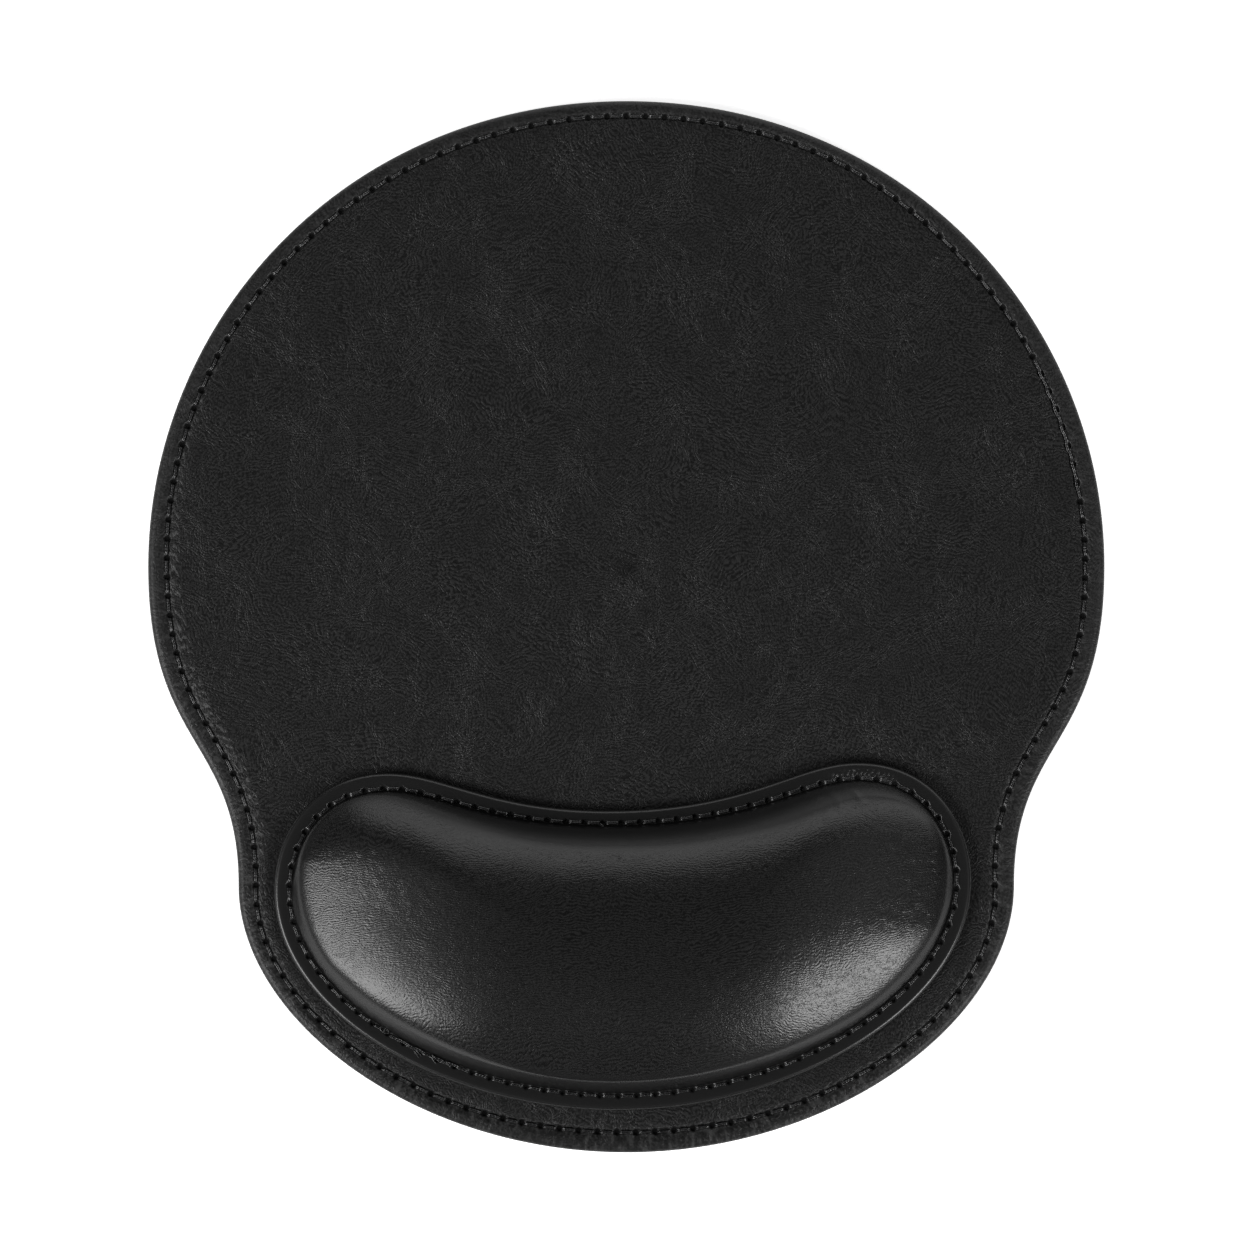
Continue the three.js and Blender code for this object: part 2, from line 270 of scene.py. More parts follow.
restOutline = {
    "nearMargin": 10.2, "shift": -0.56, "turn": 1.3,
    "hollowReach": 28.5, "lobeHalfSpacing": 55.7, "lobeReach": 38.6,
    "tipHalfWidth": 82.8, "tipReach": 10.7, "nearReach": 42.7,
    "handles": [(0.55, 0.245), (0.655, 0.51), (0.548, 0.51)],  # of each curve, leaving and arriving
}


# In the rest's own frame, through the hollow's middle, the lobe, the tip and the near middle
def restLoop():
    o = restOutline
    return handledLoop([
        (0, o["hollowReach"]), (o["lobeHalfSpacing"], o["lobeReach"]),
        (o["tipHalfWidth"], o["tipReach"]), (0, -o["nearReach"]),
    ], "xxyx", o["handles"])


restSeam = {"inset": 3.7, "hollowInset": 3.0, "hollowHalfSpan": 52, "stitchLength": 4.4, "perStitch": 12}


# One at the middle of the rest's hollow side, fading as cos^2 to nought at its lobes and its near side
def hollowness(points):
    away = np.minimum(np.abs(points[:, 0]) / restSeam["hollowHalfSpan"], 1)
    return np.where(points[:, 1] < 0, 0, np.cos(away * np.pi / 2) ** 2)


# The seam's inset: between its own and the hollow's, by that share
def restSeamInset(points, shares):
    return restSeam["inset"] + (restSeam["hollowInset"] - restSeam["inset"]) * hollowness(points)


# From the rest's own frame to the pad's: turned about its centre, then moved
def placeRest(points):
    angle = np.radians(restOutline["turn"])
    x, y = points[..., 0], points[..., 1]
    placed = points.copy()
    placed[..., 0] = x * np.cos(angle) - y * np.sin(angle) + restOutline["shift"]
    restY = restOutline["nearMargin"] + restOutline["nearReach"] - padHalfLength
    placed[..., 1] = x * np.sin(angle) + y * np.cos(angle) + restY
    return placed


padEdge = sewnEdge(padLoop(), padSeamInset, padSeam["stitchLength"], padSeam["perStitch"])
restEdge = sewnEdge(restLoop(), restSeamInset, restSeam["stitchLength"], restSeam["perStitch"])
print("edges laid out with", padEdge["stitches"], "and", restEdge["stitches"], "stitches")


seamRelief = {
    "depth": 0.4, "innerReach": 0.85, "outerReach": 0.28,
    # creaseShade: the crease's painted shade as a share of a hole's
    "creaseSide": 0.4, "creaseWidth": 0.12, "creaseDepth": 0.15, "creaseShade": 0.5,
    "holeRadius": 0.68, "holeDepth": 1.0,
    "lipRadius": 0.95, "lipWidth": 0.22, "lipHeight": 0.06, "deepest": 0.72,
}


# Height of a sewn surface beside its seam: the leather is drawn down to it, by depth * exp(-distance / reach)
# on either side; a narrow crease beside the thread; and at each hole a pit of
# depth * exp(-(distance / radius)^4) inside a low pushed-up lip; nowhere deeper than "deepest". With it, the
# mask of painted shade, by which the colour is darkened: how far each place belongs to a hole or, less, to
# the crease
def reliefBeside(edge, side, drawn=1.0):
    r = seamRelief
    reach = np.where(side > 0, r["innerReach"], r["outerReach"])
    slope = -drawn * r["depth"] * np.exp(-np.abs(side) / reach)
    distance = np.hypot(edge["fromHole"], side)
    pit = np.exp(-(distance / r["holeRadius"]) ** 4)
    lip = r["lipHeight"] * np.exp(-((distance - r["lipRadius"]) / r["lipWidth"]) ** 2)
    crease = np.exp(-((side - r["creaseSide"]) / r["creaseWidth"]) ** 2) * (1 - pit)
    height = slope - r["holeDepth"] * pit - r["creaseDepth"] * crease + lip
    return np.maximum(height, -r["deepest"]), np.maximum(pit, r["creaseShade"] * crease)


# How far inwards of the seam each ring of its groove lies
grooveSides = np.array([1.1, 0.9, 0.75, 0.64, 0.52, 0.4, 0.28, 0.14, 0,
                        -0.14, -0.28, -0.4, -0.52, -0.66, -0.82, -1])


# A sewn groove and the low dome from it out to a bend in the leather: each ring with how far inwards of the
# seam it lies and how far it belongs to the holes and crease, which sets their painted shade
def sewnRings(edge, z, sides, drawn, bend, steps, rise):
    made = []
    for side in sides:
        relief, pit = reliefBeside(edge, side, drawn)
        made.append((ringAt(edge, edge["seamInset"] + side, z + relief), side, pit))
    start = edge["seamInset"] + grooveSides[-1]
    for t in np.linspace(0, 1, steps + 1)[1:-1]:
        inset = start + (bend - start) * t
        ring = ringAt(edge, inset, z + rise * np.sin(np.pi * t))
        made.append((ring, inset - edge["seamInset"], 0 * inset))
    return made


padCoverShape = {
    "rimReach": 1.85, "rimHeight": 1.5, "flapWidth": 11,
    "centreY": 14.3, "flatShares": [0.04, 0.2, 0.4, 0.58, 0.74, 0.86, 0.94, 1],
    "flatInset": 7, "besideSeam": [5.2, 4.5, 3.9, 3.4, 2.9, 2.4, 2, 1.7, 1.4],
    "rimSteps": 5, "rimRise": 0.08,
    "rimAngles": [90, 78, 67, 57, 48, 39, 30, 20, 8, -10, -35, -60, -90], "innerAngles": [-90, 0, 90],
    # in even steps from the far end by the left side: how strongly the leather puckers inside the seam and
    # streaks outside it, how far in the puckers go, and the rim's painted light and shade: its tone as a
    # share of the flat's, painted lighter at the far end and the sides and darker at the near side
    "puckers": [0.1, 0.15, 0.2, 0.3, 0.5, 1.0, 1.0, 0.7, 0.5, 0.4,
                0.4, 0.5, 0.7, 0.5, 0.3, 0.2, 0.2, 0.15, 0.1, 0.1],
    "streaks": [0.3, 0.3, 0.4, 0.5, 0.5, 0.6, 0.8, 1.0, 1.0, 0.8,
                0.8, 1.0, 1.0, 0.8, 0.5, 0.5, 0.5, 0.4, 0.3, 0.3],
    "puckerReaches": [1.5, 1.5, 1.5, 1.8, 3, 4.2, 4.2, 2.8, 1.9, 1.7,
                      1.7, 1.8, 2, 2, 1.8, 1.5, 1.5, 1.5, 1.5, 1.5],
    "rimPaintedLightAndShade": [1.5, 1.5, 1.4, 1.35, 1.3, 1.25, 1.1, 0.85, 0.55, 0.4,
                 0.38, 0.5, 0.9, 1.15, 1.4, 1.6, 1.65, 1.65, 1.6, 1.5],
    # from which distance to which they grow; the puckers also end, between these shares of their reach
    "puckerStart": [0.2, 0.7], "puckerEnd": [0.4, 1], "streakStart": [0.3, 0.8], "rimPaintedLightStart": [0.5, 1.3],
}


# The pad's leather: flat inside, a sewn groove, a low dome out to the rim, round the rim and back under
def padCoverRings():
    s, edge, z = padCoverShape, padEdge, levels["padTop"]
    seam, blank, reach, height = edge["seamInset"], 0 * edge["place"], s["rimReach"], s["rimHeight"]
    centre, inner = np.array([0, s["centreY"], 0]), ringAt(edge, seam + s["flatInset"], z)
    made = [(np.array([1, 1, 0]) * (centre + (inner - centre) * share) + (0, 0, z), s["flatInset"], blank)
            for share in s["flatShares"]]
    made += [(ringAt(edge, seam + side, z + reliefBeside(edge, side)[0]), side, blank)
             for side in s["besideSeam"]]
    made += sewnRings(edge, z, grooveSides, 1, reach, s["rimSteps"], s["rimRise"])
    rimZ = levels["baseTop"] + height
    made += [(bentRings(edge, reach, rimZ, reach, height, [angle])[0],
              reach * (1 - np.cos(np.radians(angle))) - seam, blank) for angle in s["rimAngles"]]
    under = [ringAt(edge, s["flapWidth"], levels[part]) for part in ("baseTop", "flapTop")]
    under += bentRings(edge, reach, rimZ, reach - leather, height - leather, s["innerAngles"])
    return made + [(ring, -seam, blank) for ring in under]


# The cover with the values that its material reads: the painted shade of the holes and crease, puckers,
# streaks and the rim's painted light and shade
def makePadCover():
    s = padCoverShape
    rings, sides, pits = zip(*padCoverRings())
    pucker, streak, reach, tone = (readRound(s[part], padEdge["share"]) for part in (
        "puckers", "streaks", "puckerReaches", "rimPaintedLightAndShade"))
    values = {
        # pit: the painted shade of the holes and the crease
        "pit": pits,
        "pucker": [pucker * softStep(side, *s["puckerStart"]) * (1 - softStep(side / reach, *s["puckerEnd"]))
                   for side in sides],
        "streak": [streak * softStep(-side, *s["streakStart"]) for side in sides],
        # the rim's painted light and shade: outside the seam the tone is scaled by these shares
        "shade": [1 + (tone - 1) * softStep(-side, *s["rimPaintedLightStart"]) for side in sides],
    }
    return fannedBody("padCover", rings, values, seamPlaces(padEdge, sides))


padCover = makePadCover()
print("pad cover made")

# The cushion's edge changes round it; lists are in even steps, from its hollow's middle by the left side.
# "nearness" is how far a place belongs to the near side, whose wall has other handles
cushionShape = {
    "spineHalfLength": 44, "spineSpread": 50, "spineReach": -2, "spineBend": 16,
    "endFall": 12, "endReach": 75, "endPower": 3.1,
    "sideFall": 3, "sideReach": 31, "sidePower": 2.4, "axisReach": -7, "axisBend": 23.7, "axisSpread": 50,
    "widths": [5.2, 4.9, 3.5, 1.4, 1.3, 2.5, 3.0, 3.3, 3.4, 3.4,
               3.4, 3.4, 3.2, 2.7, 2.5, 2.1, 1.8, 4.0, 5.6, 5.6],
    "rises": [7.8, 7.4, 5.0, 1.6, 1.5, 2.9, 4.2, 5.8, 6.7, 6.8,
              6.8, 6.6, 5.7, 3.6, 3.0, 2.4, 1.8, 3.7, 6.8, 7.8],
    "slopes": [42, 42, 41, 39, 36, 33, 35, 39, 36, 31,
               31, 34, 36, 33, 33, 33, 35, 39, 42, 42],
    "roundings": [0.1, 0.1, 0.1, 0.1, 0.2, 0.5, 0.5, 0.8, 1.4, 1.8,
                  1.8, 1.4, 0.8, 0.5, 0.45, 0.4, 0.2, 0.1, 0.1, 0.1],
    "softnesses": [0.8, 0.8, 0.8, 0.8, 0.9, 1.1, 1.3, 1.1, 0.6, 0.1,
                   0.1, 0.18, 0.45, 1.0, 1.1, 1.1, 0.9, 0.8, 0.8, 0.8],
    "nearness": [0, 0, 0, 0, 0, 0.1, 0.5, 0.9, 1, 1,
                 1, 0.9, 0.6, 0.3, 0.1, 0, 0, 0, 0, 0],
    "leastFall": 0.2, "leastReach": 8, "leastSteepness": 0.02, "slopeStep": 0.1,
    "footWidth": 0.5, "leastWallWidth": 0.3, "footSink": 0.15, "steepestFoot": 80,
    "wallHandle": 0.36, "nearFootHandle": 0.2, "nearTopHandle": -0.06,
    "firstShare": 0.015, "crownRings": 33, "ringCrowding": 1.6, "wallRings": 10,
    "grainFade": [0.4, 2.4], "wallFade": [0, 1.5],
}


# How far the cushion's broad crown is under its top: it falls as a power of the distance from its middle,
# and as a lower power of the distance from its bent long axis
def crownFall(points):
    s = cushionShape
    x, y = points[:, 0], points[:, 1]
    axis = s["axisReach"] + s["axisBend"] * x ** 2 / (x ** 2 + s["axisSpread"] ** 2)
    return (s["endFall"] * (np.abs(x) / s["endReach"]) ** s["endPower"]
            + s["sideFall"] * (np.abs(y - axis) / s["sideReach"]) ** s["sidePower"])


swellShape = {
    "everyRing": 3, "everyStation": 12, "startDepth": 0.35, "pressure": 4, "frames": 20, "cap": 0.8,
    "mass": 0.02, "stiffness": 1, "bending": 0.1, "fitDegree": 6, "keptShare": 0.3, "fadeRings": [1, 9],
}
swells = []


# The terms of a smooth surface over the cushion: all products of powers of x and y up to a degree together
def swellTerms(ring):
    across, deep = ring[:, 0] / restOutline["tipHalfWidth"], ring[:, 1] / restOutline["nearReach"]
    powers = swellShape["fitDegree"] + 1
    return np.stack([across ** i * deep ** j for i in range(powers) for j in range(powers - i)], 1)


# How the cushion's leather moves when it is blown up like a cloth pinned at its seam: a coarse copy, a little
# smaller, swells for a few steps by at most the cap; how much higher than the plain surface it ends is fitted
# by the smooth surface and read back on every ring, and fades out down the wall
def simulateSwell(rings):
    s = swellShape
    start = cushionRings(restEdge, s["startDepth"], levels["flangeTop"])[0]
    small, plain = (np.array(body)[::s["everyRing"], ::s["everyStation"]] for body in (start, rings))
    count, sides = small.shape[:2]
    body = strippedBody("swelling", list(small))
    pins = body.vertex_groups.new(name="pins")
    pins.add(list(range((count - 1) * sides, count * sides)), 1.0, "REPLACE")
    cloth = body.modifiers.new("swelling", "CLOTH")
    cloth.settings.use_pressure = True
    cloth.settings.uniform_pressure_force = s["pressure"]
    cloth.settings.vertex_group_mass = "pins"
    cloth.settings.effector_weights.gravity = 0
    cloth.settings.mass = s["mass"]
    cloth.settings.tension_stiffness = cloth.settings.compression_stiffness = s["stiffness"]
    cloth.settings.shear_stiffness, cloth.settings.bending_stiffness = s["stiffness"], s["bending"]
    cloth.point_cache.frame_start, cloth.point_cache.frame_end = 1, s["frames"]
    scene = bpy.context.scene
    for step in range(1, s["frames"] + 1):
        scene.frame_set(step)
    swollen = body.evaluated_get(bpy.context.evaluated_depsgraph_get()).to_mesh()
    found = np.zeros(len(swollen.vertices) * 3)
    swollen.vertices.foreach_get("co", found)
    moved = found.reshape(-1, 3)[:count * sides].reshape(count, sides, 3) / mm - small
    scene.frame_set(1)
    mesh = body.data
    bpy.data.objects.remove(body)
    bpy.data.meshes.remove(mesh)
    size = np.linalg.norm(moved, axis=2, keepdims=True)
    moved *= np.minimum(1, s["cap"] / np.maximum(size, 1e-6))
    lift = (small + moved - plain)[..., 2]
    terms = swellTerms(plain.reshape(-1, 3))
    shares = np.linalg.lstsq(terms, lift.ravel(), rcond=None)[0]
    left = terms @ shares - lift.ravel()
    print("cushion swelled by %.2f mm, to %.2f mm from the plain one, spread %.2f, left out %.3f"
          % (size.mean(), lift.mean(), lift.std(), left.std()))
    fade = softStep(np.arange(len(rings))[::-1], *s["fadeRings"])
    return [s["keptShare"] * f * (swellTerms(ring) @ shares) for ring, f in zip(rings, fade)]


# The cushion's surface at a depth under the outer leather. Crown: rings drawn from the shoulder to a spine;
# height = top - broad fall - rounding * softness * exp(-away / softness)
#              - edge fall * share^2 * exp(-away * decay),
# with the decay that gives the wanted slope at the shoulder. Wall: a Bezier curve from the shoulder to the
# foot. With the rings, how much grain and how much wall each of them has
def cushionRings(edge, depth, footZ):
    s = cushionShape
    points = edge["points"]
    width, shoulderRise, slope, rounding, soft, near = (readRound(s[part], edge["share"]) for part in (
        "widths", "rises", "slopes", "roundings", "softnesses", "nearness"))
    footInset = edge["seamInset"] + s["footWidth"] + depth
    shoulderInset = edge["seamInset"] + np.maximum(width, s["footWidth"] + s["leastWallWidth"]) + depth
    shoulder, step = ringAt(edge, shoulderInset, 0), s["slopeStep"]
    broadSlope = (crownFall(shoulder) - crownFall(ringAt(edge, shoulderInset + step, 0))) / step
    top = levels["crownTop"] - depth
    roof = top - crownFall(shoulder) - rounding * soft
    shoulderZ = np.minimum(levels["flangeTop"] + shoulderRise - depth, roof - s["leastFall"])
    edgeFall = roof - shoulderZ
    spineX = s["spineHalfLength"] * np.tanh(points[:, 0] / s["spineSpread"])
    spineY = s["spineReach"] + s["spineBend"] * (spineX / s["spineHalfLength"]) ** 2
    spine = np.column_stack([spineX, spineY, shoulderZ])
    reach = np.maximum(((spine - shoulder)[:, :2] * edge["inward"]).sum(1), s["leastReach"])
    steep = np.maximum(np.tan(np.radians(slope)) - broadSlope, s["leastSteepness"])
    decay = np.maximum(steep / edgeFall - 2 / reach, 0)
    rings, grains, walls = [], [], []
    for share in 1 - (1 - np.linspace(s["firstShare"], 1, s["crownRings"])) ** s["ringCrowding"]:
        ring = spine + (shoulder - spine) * share
        away = reach * (1 - share)
        ring[:, 2] = (top - crownFall(ring) - rounding * soft * np.exp(-away / soft)
                      - edgeFall * share ** 2 * np.exp(-away * decay))
        rings.append(ring)
        grains.append(softStep(away, *s["grainFade"]))
        walls.append(1 - softStep(away, *s["wallFade"]))
    slope = np.arctan(rounding + edgeFall * (decay + 2 / reach) + broadSlope)
    across, up = shoulderInset - footInset, shoulderZ - footZ
    foot = np.minimum(2 * np.arctan2(up, across) - slope, np.radians(s["steepestFoot"]))
    footHandle, topHandle = ((s["wallHandle"] + s[part] * near) * np.hypot(across, up)
                             for part in ("nearFootHandle", "nearTopHandle"))
    wall = bezier(
        (shoulderInset, shoulderZ),
        (shoulderInset - topHandle * np.cos(slope), shoulderZ - topHandle * np.sin(slope)),
        (footInset + footHandle * np.cos(foot), footZ + footHandle * np.sin(foot)),
        (footInset, 0 * up + footZ), count=s["wallRings"] + 1)
    for inset, z in wall[1:]:
        rings.append(ringAt(edge, inset, z))
        grains.append(np.zeros(len(points)))
        walls.append(np.ones(len(points)))
    if swells:
        for ring, change in zip(rings, swells[0]):
            ring[:, 2] += change
    return rings, grains, walls


# The outer surface, whose foot lies a little under the flange
def outerCushion():
    return cushionRings(restEdge, 0, levels["flangeTop"] - cushionShape["footSink"])


swells.append(simulateSwell(outerCushion()[0]))
print("cushion simulated")

restCoverShape = {
    "seamDrawn": 0.5, "grooveFrom": 0.5, "flangeSteps": 4, "flangeRise": 0.03, "flangeGrain": 0.15,
    "edgeBend": 1.05, "bendAngles": np.linspace(90, 0, 8), "underAngles": [0, -30, -60, -90],
    "flapWidth": 8, "innerEvery": 3, "farSide": 9, "foldlessRings": 2,
    # between which shares of the way round the flange gathers, and how far outside the seam
    "gatherFrom": [0.835, 0.848], "gatherTo": [0.868, 0.882],
    "gatherStart": [0.2, 0.6], "gatherEnd": [1.5, 2.5],
    # x, y, heading, half length, half width and depth of each fold beside the right lobe
    "folds": [(50.1, -41.6, -66, 3.2, 0.8, 0.16), (55.3, -40.8, -52, 2.6, 0.7, 0.12),
              (46.5, -42.4, -75, 2.2, 0.7, 0.09)],
}


# Folds in the cushion's leather: z falls by depth * exp(-(across / width)^2 - (along / length)^4)
def foldsAt(points):
    fall = 0
    for x, y, heading, length, width, depth in restCoverShape["folds"]:
        h = np.radians(heading)
        away = points[:, :2] - (x, y)
        along, across = away @ (np.cos(h), np.sin(h)), away @ (-np.sin(h), np.cos(h))
        fall = fall + depth * np.exp(-(across / width) ** 2 - (along / length) ** 4)
    return fall


# The cushion, its sewn groove, the flange, its turned edge, the flap under the board, and the inner side
def restCoverRings():
    s, edge, z, under = restCoverShape, restEdge, levels["flangeTop"], levels["padTop"]
    seam, blank, bend, flap = edge["seamInset"], 0 * edge["place"], s["edgeBend"], s["flapWidth"]
    crown, grains, walls = outerCushion()
    made = [(ring, blank + s["farSide"], blank) for ring in crown]
    made += sewnRings(edge, z, grooveSides[grooveSides < s["grooveFrom"]], s["seamDrawn"],
                      bend, s["flangeSteps"], s["flangeRise"])
    made += [(ring, -seam, blank) for ring in (
        bentRings(edge, bend, z - bend, bend, bend, s["bendAngles"])
        + bentRings(edge, bend, under + bend, bend, bend, s["underAngles"]))]
    inner = [ringAt(edge, inset, levels[height]) for inset, height in (
        (flap, "padTop"), (flap, "sheetTop"), (leather, "sheetTop"), (leather, "boardTop"))]
    inner += cushionRings(edge, leather, levels["boardTop"])[0][::-1][::s["innerEvery"]]
    rings, sides, pits = zip(*made, *((ring, blank, blank) for ring in inner))
    others = len(rings) - len(crown)
    near = readRound(cushionShape["nearness"], edge["share"])
    gathered = softStep(edge["share"], *s["gatherFrom"]) * (1 - softStep(edge["share"], *s["gatherTo"]))
    walls += [blank] * others
    return rings, sides, {
        # pit: the painted shade of the holes and the crease
        "pit": pits, "grain": grains + [blank + s["flangeGrain"]] * others,
        "wall": walls, "dull": [wall * near for wall in walls],
        "gather": [gathered * softStep(-side, *s["gatherStart"]) * (1 - softStep(-side, *s["gatherEnd"]))
                   for side in sides],
    }


# The cover in its place on the pad, with the folds pressed into all of the cushion but its foot
def makeRestCover():
    rings, sides, values = restCoverRings()
    rings = [placeRest(ring) for ring in rings]
    folded = cushionShape["crownRings"] + cushionShape["wallRings"] - restCoverShape["foldlessRings"]
    for ring in rings[:folded]:
        ring[:, 2] -= foldsAt(ring)
    return strippedBody("restCover", rings, values, seamPlaces(restEdge, sides))


restCover = makeRestCover()
print("rest cover made")

# One stitch seen from its seam: how far along the pitch, how far outwards, and how high its middle is; its
# two plies lie side by side and turn about each other a little. A stitch sewn again over the first ones lies
# further in and higher
threadShape = {
    "plyRadius": 0.16, "plyOffset": 0.17, "sides": 5, "lay": 1.0, "layStart": -0.5, "laySpread": 0.25,
    "alongShares": [0.155, 0.165, 0.2, 0.32, 0.5, 0.68, 0.78, 0.82, 0.83],
    "outward": [0, 0.1, 0.15, 0.08, 0.05, 0.08, 0.18, 0.13, 0.04],
    "rise": [-0.5, -0.1, 0.13, 0.14, 0.11, 0.12, 0.12, -0.25, -0.5],
    "againInward": 0.25, "againRise": 0.14, "jitter": 0.05, "seed": 7,
    "needleSink": 0.08, "padBobbinRise": 0.46, "restBobbinRise": 0.42, "restLean": 0.1,
    # the places, in stitches along the seam, of the stitches sewn again
    "padAgain": np.arange(127, 134) + 0.45, "restAgain": [31.5, 32.45, 33.5, 34.4],
}

# Loose ends of thread beside the rest's seam, each from x0, y0 to x1, y1; and a small loop, with the place of
# its middle, its turn, its half length and its half width
looseThreads = {
    "radius": 0.13, "sides": 5, "lie": 0.12, "arch": 0.25, "bow": 1.3, "endPoints": 6, "loopPoints": 17,
    "ends": [(-50.6, -100.4, -49.3, -102.2), (-50.1, -100.3, -48.6, -101.9), (-46.7, -101.8, -45.2, -103.7),
             (-46.2, -101.5, -44.4, -103.3), (-42.9, -103.1, -41.7, -104.6), (-6.3, -46.7, -4.8, -48.0)],
    "loop": (-57.4, -95.7, -33, 1.15, 0.55),
}


# The lines of the loose threads. An end goes from its hole to its tip, x evenly and y as t^bow, with
# z = lie + arch * sin(pi * t); the loop is an ellipse
def looseLines(z):
    s = looseThreads
    t = np.linspace(0, 1, s["endPoints"])
    low = z + s["lie"]
    lines = [np.column_stack([x0 + (x1 - x0) * t, y0 + (y1 - y0) * t ** s["bow"],
                              low + s["arch"] * np.sin(np.pi * t)]) for x0, y0, x1, y1 in s["ends"]]
    x, y, turn, along, across = s["loop"]
    a, c = np.linspace(0, 2 * np.pi, s["loopPoints"]), np.radians(turn)
    lines.append(np.column_stack([x + along * np.cos(a) * np.cos(c) - across * np.sin(a) * np.sin(c),
                                  y + along * np.cos(a) * np.sin(c) + across * np.sin(a) * np.cos(c),
                                  low + s["arch"] + 0 * a]))
    return lines


# A loose thread along a line: a tube whose section is radius * (cos, sin) about the line
def looseTube(line, firstPoint):
    s = looseThreads
    ahead = np.gradient(line, axis=0)
    across = unit(np.cross(ahead, (0, 0, 1)))
    up = unit(np.cross(across, ahead))
    angle = np.linspace(0, 2 * np.pi, s["sides"], endpoint=False)[None, :, None]
    points = line[:, None] + s["radius"] * (across[:, None] * np.cos(angle) + up[:, None] * np.sin(angle))
    last = firstPoint + (len(line) - 1) * s["sides"]
    around = np.arange(s["sides"])
    faces = (bandFaces(len(line), s["sides"]) + firstPoint).tolist()
    return points.reshape(-1, 3), faces + [(firstPoint + around).tolist(), (last + around[::-1]).tolist()]


# Faces of tubes whose points follow each other, with a cap on each end
def tubeFaces(tubes, stations, sides):
    starts = (np.arange(tubes) * stations * sides)[:, None]
    bands = (starts[:, None] + bandFaces(stations, sides)[:, [0, 3, 2, 1]]).reshape(-1, 4)
    caps = starts + np.arange(sides)
    return bands.tolist() + caps[:, ::-1].tolist() + (caps + (stations - 1) * sides).tolist()


# The seam's line and its normal into the loop, at places counted in stitches
def alongSeam(edge, places):
    known = np.append(edge["place"], edge["stitches"])
    line = readLoop(edge["points"] + edge["inward"] * edge["seamInset"][:, None], places, known)
    return line, unit(readLoop(edge["inward"], places, known))


# Each ply is a tube: its middle is the seam's place moved outwards and up as above, then sideways by
# offset * (cos, sin) of the lay's angle; its section is radius * (cos, sin) about that line
def makeStitches(name, edge, z, flip=1, place=None, lean=0, again=(), lines=()):
    s = threadShape
    shares, sides, stations = np.array(s["alongShares"]), s["sides"], len(s["alongShares"])
    starts = np.concatenate([np.arange(edge["stitches"]), again])
    second = (np.arange(len(starts)) >= edge["stitches"])[:, None]
    random = np.random.default_rng(s["seed"])
    at = (starts[:, None] + shares).ravel()
    line, inward = alongSeam(edge, at)
    shake = random.normal(0, s["jitter"], (len(starts), 1)) * np.sin(np.pi * shares)
    outward = (np.array(s["outward"]) + lean - s["againInward"] * second + shake).ravel()
    rise = (np.array(s["rise"]) + s["againRise"] * second).ravel()
    centre = np.column_stack([line - inward * outward[:, None], z + flip * rise]).reshape(-1, stations, 3)
    ahead = unit(np.gradient(centre, axis=1))
    across = np.column_stack([inward, np.zeros(len(inward))]).reshape(-1, stations, 3)
    across = unit(across - ahead * (across * ahead).sum(2, keepdims=True))
    up = np.cross(ahead, across)
    angle = np.linspace(0, 2 * np.pi, sides, endpoint=False)
    ring = across[:, :, None] * np.cos(angle)[:, None] + up[:, :, None] * np.sin(angle)[:, None]
    lay = s["layStart"] + s["lay"] * shares + random.normal(0, s["laySpread"], (len(starts), 1))
    aside = s["plyOffset"] * (across * np.cos(lay)[:, :, None] + up * np.sin(lay)[:, :, None])
    plies = [(centre + way * aside)[:, :, None] + s["plyRadius"] * ring for way in (-1, 1)]
    points = np.concatenate(plies).reshape(-1, 3)
    if place:
        points = place(points)
    faces = tubeFaces(2 * len(starts), stations, sides)
    along, around = np.tile(np.repeat(at * edge["pitch"], sides), 2), np.tile(angle, 2 * len(at))
    for loose in lines:
        tube, itsFaces = looseTube(loose, len(points))
        points, faces = np.vstack([points, tube]), faces + itsFaces
        along, around = (np.append(values, np.zeros(len(tube))) for values in (along, around))
    return meshObject(name, points, faces, {"along": [along], "around": [around]})


padNeedleStitches = makeStitches(
    "padNeedleStitches", padEdge, levels["padTop"] - threadShape["needleSink"], again=threadShape["padAgain"])
restNeedleStitches = makeStitches(
    "restNeedleStitches", restEdge, levels["flangeTop"] - threadShape["needleSink"], place=placeRest,
    lean=threadShape["restLean"], again=threadShape["restAgain"], lines=looseLines(levels["flangeTop"]))
padBobbinStitches = makeStitches("padBobbinStitches", padEdge, threadShape["padBobbinRise"], -1)
restBobbinStitches = makeStitches(
    "restBobbinStitches", restEdge, levels["padTop"] + threadShape["restBobbinRise"], -1, place=placeRest)
print("stitches made")

baseShape = {"setback": 1.2, "chamfer": 0.25}
foamShape = {"layerFit": 0.3}  # the gap between a foam and the cover round it


# The non-slip sheet: flat above, with a chamfered rim and the seam's groove, as in the leather, below
def makeBase():
    s, edge = baseShape, padEdge
    rings = [ringAt(edge, s["setback"], levels["baseTop"]), ringAt(edge, s["setback"], s["chamfer"]),
             ringAt(edge, s["setback"] + s["chamfer"], 0)]
    for side in grooveSides[::-1]:
        relief = reliefBeside(edge, side)[0]
        rings.append(ringAt(edge, edge["seamInset"] + side, np.maximum(-relief, 0)))
    return fannedBody("nonslipBase", rings)


# The flat foam in the pad, with a step round its underside for the leather's flap
def makeCore():
    c, edge, fit = padCoverShape, padEdge, foamShape["layerFit"]
    rings = [ringAt(edge, c[part] + fit, levels[height]) for part, height in (
        ("rimReach", "coreTop"), ("rimReach", "flapTop"), ("flapWidth", "flapTop"), ("flapWidth", "baseTop"))]
    return fannedBody("padCoreFoam", rings)


nonslipBase = makeBase()
padCoreFoam = makeCore()
restFoam = strippedBody("restFoam", [placeRest(ring) for ring in cushionRings(
    restEdge, leather + foamShape["layerFit"], levels["boardTop"])[0]])
print("inner pieces made")


